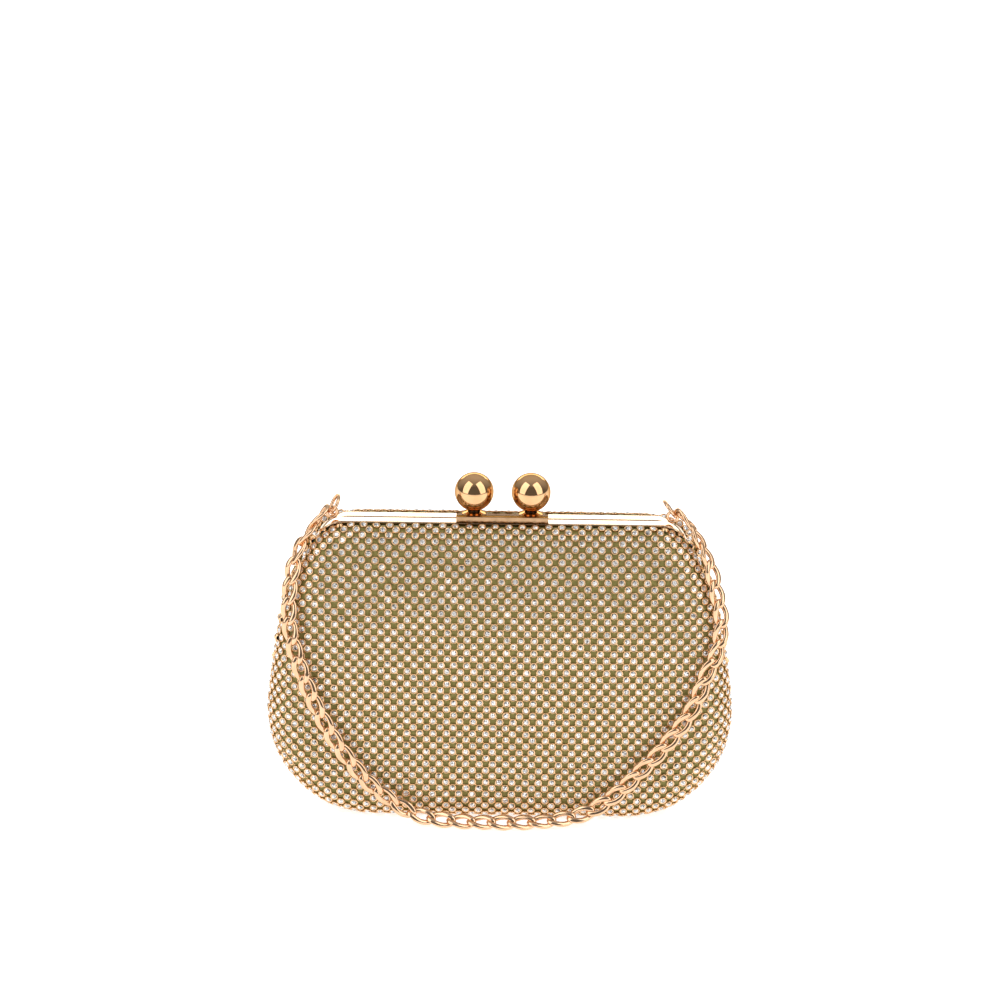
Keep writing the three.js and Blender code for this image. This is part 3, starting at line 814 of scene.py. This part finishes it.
# ---------------------------------------------------------------- metal fittings
def torus(name, centre, ring_r, wire_r, across, up, material):
    """A wire ring in the plane of two directions."""
    steps, sides = 48, 14
    across, up = np.array(across, float), np.array(up, float)
    normal = np.cross(across, up)
    verts = []
    for t in np.linspace(0, 2 * math.pi, steps, endpoint=False):
        out = across * math.cos(t) + up * math.sin(t)
        for a in np.linspace(0, 2 * math.pi, sides, endpoint=False):
            reach = ring_r + wire_r * math.cos(a)
            verts.append(np.array(centre) + out * reach + normal * wire_r * math.sin(a))
    return piece(name, verts, grid_faces(steps, sides, closed_rows=True), material)


def middle_of(node):
    low, high = (np.array(c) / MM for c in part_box(node))
    return (low + high) / 2, high - low


def make_ring(node, lean, turn):
    """The chain's end ring, leaning inwards over the bag about a point low in its eye."""
    lean, turn = math.radians(lean), math.radians(turn)
    centre, size = middle_of(node)
    wire = size[0] / 2
    radius = size[2] / 2 - wire
    inward = -math.copysign(math.sin(lean), centre[0])
    up = np.array([inward, 0, math.cos(lean)])
    side = np.cross(up, [1, 0, 0])
    across = side * math.cos(turn) + np.cross(up, side) * math.sin(turn)
    across /= np.linalg.norm(across)
    middle = centre - [0, 0, RING_PIVOT] + up * RING_PIVOT
    ring = torus(node.replace("strap_ring", "chain_ring"), middle, radius, wire,
                 across, up, CHAIN_METAL)
    return dress(ring, "strap", "chain_gold", node)


def make_eyelet(node):
    centre, size = middle_of(node)
    wire = size[1] / 2
    eye = torus(node.replace("strap_", "frame_"), centre, size[0] / 2 - wire, wire,
                (1, 0, 0), (0, 0, 1), CHAIN_METAL)
    return dress(eye, "bag", "frame_gold", node)


def arch_path(half, top, corner, low, inset):
    """Upside-down U: points (x, z) and outward directions, inset from the outer line."""
    turn = np.linspace(0, math.pi / 2, 15)
    arc = np.stack([np.cos(turn), np.sin(turn)], 1)
    right = arc * (corner - inset) + [half - corner, top - corner]
    side = np.linspace([half - inset, low], [half - inset, top - corner], 6)[:-1]
    line = np.linspace(half - corner, corner - half, 24)[1:-1]
    across = np.stack([line, 0 * line + top - inset], 1)
    left = right[::-1] * [-1, 1]
    points = np.concatenate([side, right, across, left, side[::-1] * [-1, 1]])
    outward = np.concatenate([
        np.tile([1.0, 0], (5, 1)), arc, np.tile([0.0, 1], (22, 1)), arc[::-1] * [-1, 1],
        np.tile([-1.0, 0], (5, 1)),
    ])
    return points, outward


def rounded_box_profile(y0, y1, n0, n1, radius, steps=4):
    """Closed rounded rectangle: depth y and distance n along the path's outward side."""
    corners = [(y1, n1, 0), (y0, n1, 1), (y0, n0, 2), (y1, n0, 3)]
    points = []
    for y, n, quarter in corners:
        cy = y - radius if y == y1 else y + radius
        cn = n - radius if n == n1 else n + radius
        for k in range(steps + 1):
            a = (quarter + k / steps) * math.pi / 2
            points.append((cy + radius * math.cos(a), cn + radius * math.sin(a)))
    return points


def sweep(path, outward, profile):
    """A profile of (depth, outward distance) carried along the path, with end caps."""
    verts = []
    for (x, z), (ox, oz) in zip(path, outward):
        verts += [(x + ox * n, y, z + oz * n) for y, n in profile]
    count = len(profile)
    faces = grid_faces(len(path), count)
    last = (len(path) - 1) * count
    return verts, faces + [list(range(count))[::-1], [last + k for k in range(count)]]


def disc_x(radius, x0, x1, y, z, edge, sides=40):
    """A round plate with softened edges, its axis along X."""
    profile = [(radius - edge, x0), (radius, x0 + edge), (radius, x1 - edge), (radius - edge, x1)]
    verts, faces = lathe(profile, sides, (0, 0))
    verts = verts[:, [2, 1, 0]] * [1, 1, -1] + [0, y, z]
    return verts, faces


def joined(*parts):
    """Several (points, faces) as one."""
    verts, faces, count = [], [], 0
    for points, quads in parts:
        verts.append(np.asarray(points, float))
        faces += [[count + v for v in face] for face in quads]
        count += len(points)
    return np.concatenate(verts), faces


def frame_half(side, body, facing):
    """Polished rail over the panel's edge, the web inside it and the hinge ears."""
    low, high = (np.array(c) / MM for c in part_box(f"{side}_frame"))
    half, top = high[0], high[2]
    rim = low[1] if facing < 0 else high[1]
    depth = sorted((facing * SEAM_HALF, rim))
    web = sorted((facing * SEAM_HALF, facing * (SEAM_HALF + WEB_THICK)))
    path, outward = arch_path(half, top, FRAME_CORNER_R, HINGE_Z, 0)
    rail = sweep(path, outward, rounded_box_profile(*depth, -FLANGE_THICK, 0, FLANGE_EDGE))
    path, outward = arch_path(half, top, FRAME_CORNER_R, WEB_END_Z, FLANGE_THICK)
    inner = sweep(path, outward,
                  rounded_box_profile(*web, FLANGE_THICK - WEB_DEPTH, 0, 0.15, 2))
    ears = [
        disc_x(EAR_R, *sorted((end * (half - FLANGE_THICK), end * half)), 0, HINGE_Z, EAR_EDGE)
        for end in (-1, 1)
    ]
    made = piece(f"frame_{side}", *joined(rail, inner, *ears), FRAME_METAL)
    soften(made, 40)
    return dress(made, body, "frame_gold", f"{side}_frame")


def soften(made, degrees):
    """Smooth shading that keeps edges sharper than the angle."""
    made.data.set_sharp_from_angle(angle=math.radians(degrees))


def clasp_bar(side, body, facing):
    """Half of the clasp's bar: a rounded strip of plate, its top falling to the back."""
    low, high = (np.array(c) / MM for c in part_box(f"{side}_clasp_plate"))
    front = facing < 0
    y0, y1 = (-BAR_FRONT, -SEAM_HALF) if front else (SEAM_HALF, BAR_BACK)
    rise, slope = (0, BAR_SLOPE) if front else (-BAR_STEP, BAR_BACK_SLOPE)
    profile = np.array(rounded_box_profile(y0, y1, low[2], high[2], BAR_EDGE))
    top = profile[:, 1] > (low[2] + high[2]) / 2
    profile[top, 1] += rise - slope * profile[top, 0]
    length = np.linspace(low[0], high[0], BAR_STEPS)
    verts = [(x, y, z) for x in length for y, z in profile]
    count = len(profile)
    last = (len(length) - 1) * count
    faces = grid_faces(len(length), count)
    faces += [list(range(count))[::-1], [last + k for k in range(count)]]
    # the bar's gold is darker than the clasp's: painted shade
    made = piece(f"clasp_bar_{side}", verts, faces, BAR_PAINTED_SHADE_GOLD)
    soften(made, 25)
    return dress(made, body, "clasp_gold", f"{side}_clasp_plate")


def clasp_ball(side, body):
    """Ball on its neck, painted near black as the shade under the ball, and the flared collar it
    stands on.
    """
    centre, size = middle_of(f"{side}_ball")
    low, high = (np.array(c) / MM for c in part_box(f"{side}_ball"))
    radius = size[0] / 2
    middle_z = high[2] - radius
    start = -math.acos(BALL_NECK_R / radius)
    profile = [(BALL_NECK_R, low[2])]
    for a in np.linspace(start, math.pi / 2 - 0.03, BALL_STEPS):
        profile.append((radius * math.cos(a), middle_z + radius * math.sin(a)))
    ball = piece(f"clasp_ball_{side}", *lathe(profile, BALL_SIDES, centre), CLASP_METAL)
    dress(ball, body, "clasp_gold", f"{side}_ball")

    low, high = (np.array(c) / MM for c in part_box(f"{side}_ball_collar"))
    wide, foot = (high[0] - low[0]) / 2, low[2]
    profile = [(wide - inset, foot + rise) for inset, rise in COLLAR_FOOT]
    profile += [(reach, foot + rise) for reach, rise in COLLAR_FLARE]
    collar = piece(f"clasp_collar_{side}", *lathe(profile, BALL_SIDES, centre), CLASP_METAL)
    soften(collar, 50)
    dress(collar, body, "clasp_gold", f"{side}_ball_collar")

    under_ball = middle_z - math.sqrt(radius ** 2 - NECK_R ** 2)
    profile = [(NECK_R, foot + NECK_FOOT), (NECK_R, under_ball)]
    # the neck in near-black metal: painted shade under the ball
    neck = piece(f"clasp_neck_{side}", *lathe(profile, NECK_SIDES, centre), NECK_PAINTED_SHADE_METAL)
    soften(neck, 50)
    dress(neck, body, "clasp_gold")


# ---------------------------------------------------------------- build
CLASP_EDGE = (0.42, 0.3, 0.2)
FRAME_EDGE = (1.0, 0.95, 0.9)
CRYSTAL = crystal()
CUP_METAL = metal("cup_gold", (0.78, 0.5, 0.26), (0.9, 0.61, 0.36), 0.24)
FRAME_METAL = metal("frame_gold", (0.88, 0.64, 0.42), (0.93, 0.7, 0.48), 0.1, FRAME_EDGE)
CLASP_METAL = metal("clasp_gold", (0.74, 0.44, 0.22), (0.78, 0.48, 0.25), 0.06, CLASP_EDGE)
CHAIN_METAL = metal("chain_gold", (0.78, 0.5, 0.3), (0.85, 0.57, 0.36), 0.1)
# the clasp bar's gold, a darker copy of the clasp gold: painted shade for its brown band
BAR_PAINTED_SHADE_GOLD = metal("clasp_bar_painted_shade_gold", (0.42, 0.26, 0.14), (0.52, 0.33, 0.19), 0.2, CLASP_EDGE)
# the neck's near-black metal is painted shade under the ball; the part itself is clasp gold
NECK_PAINTED_SHADE_METAL = metal("neck_painted_shade", (0.05, 0.03, 0.02), (0.08, 0.05, 0.03), 0.3, (0.2, 0.14, 0.1))
STEEL = metal("steel", (0.5, 0.5, 0.5), (0.6, 0.6, 0.6), 0.3)
BOARD = plain("base_board", (0.25, 0.22, 0.18), (0.32, 0.28, 0.24), 0.9)
LAME = lame()
SATIN = satin()

make_camera()
OUTER_RINGS = shell_rings(SECTIONS)
outer_faces = [f[::-1] for f in grid_faces(len(OUTER_RINGS), OUTER_RINGS.shape[1])]
SURFACE = BVHTree.FromPolygons((OUTER_RINGS.reshape(-1, 3) * MM).tolist(), outer_faces)
make_chain(SURFACE)

HALF_TURN = Matrix.Rotation(math.pi, 4, "Z")


def to_back(made, slot, *nodes):
    """Turns a front half's piece round to the back."""
    made.data.transform(HALF_TURN)
    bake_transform(made)
    if nodes:
        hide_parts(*nodes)


BACK_PANEL = [f"back_panel_{part}" for part in ("lower", "crease", "upper")]
BACK_LINING = [f"back_lining_{part}" for part in ("lower", "crease", "upper")]


def lining_stations():
    scaled = []
    for x, z, roll, deep, fold, end_x, end_y, end_z, cover in STATIONS:
        x, end_x = x * LINING_SCALE, end_x * LINING_SCALE
        z, end_z = (CORE_Z + (h - CORE_Z) * LINING_SCALE for h in (z, end_z))
        ear = max(x - end_x - 2, 0)
        scaled.append((x - ear, z, roll, deep, fold + 0.4, end_x, end_y, end_z, cover))
    return scaled


def make_pouch():
    rings = sunk(OUTER_RINGS, MESH_SINK)
    lining_edge, _ = edge_sections(lining_stations(), LINING_SET_BACK)
    lining = shell_rings(lining_edge, LINING_SET_BACK)
    front = dress(cloth("front_mesh", rings, LAME), "bag", "stone_mesh", "front_panel")
    inside = dress(cloth("front_satin", lining, SATIN), "bag", "lining", "front_lining")
    back = cloth("back_mesh", rings, LAME)
    to_back(back, "stone_mesh", *BACK_PANEL)
    back_inside = cloth("back_satin", lining, SATIN)
    to_back(back_inside, "lining", *BACK_LINING)
    for made in crystal_field("front"):
        dress(made, "bag", "stone_mesh")
    for made in crystal_field("back"):
        to_back(made, "stone_mesh")


make_pouch()
for side, body, facing in (("front", "bag", -1), ("back", "back_half", 1)):
    frame_half(side, body, facing)
    clasp_bar(side, body, facing)
    clasp_ball(side, body)
for node in ("strap_eyelet_left", "strap_eyelet_right"):
    make_eyelet(node)


def finish_cad(names, material):
    for name in names:
        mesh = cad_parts[name].data
        mesh.materials.clear()
        mesh.materials.append(material)


finish_cad(["hinge_rivet_left", "hinge_rivet_right"], FRAME_METAL)
finish_cad(["hinge_washer_left", "hinge_washer_right", "catch_tongue", "catch_spring",
            "front_ball_post", "back_ball_post"], STEEL)
finish_cad(["base_board"], BOARD)
make_floor()
make_studio()
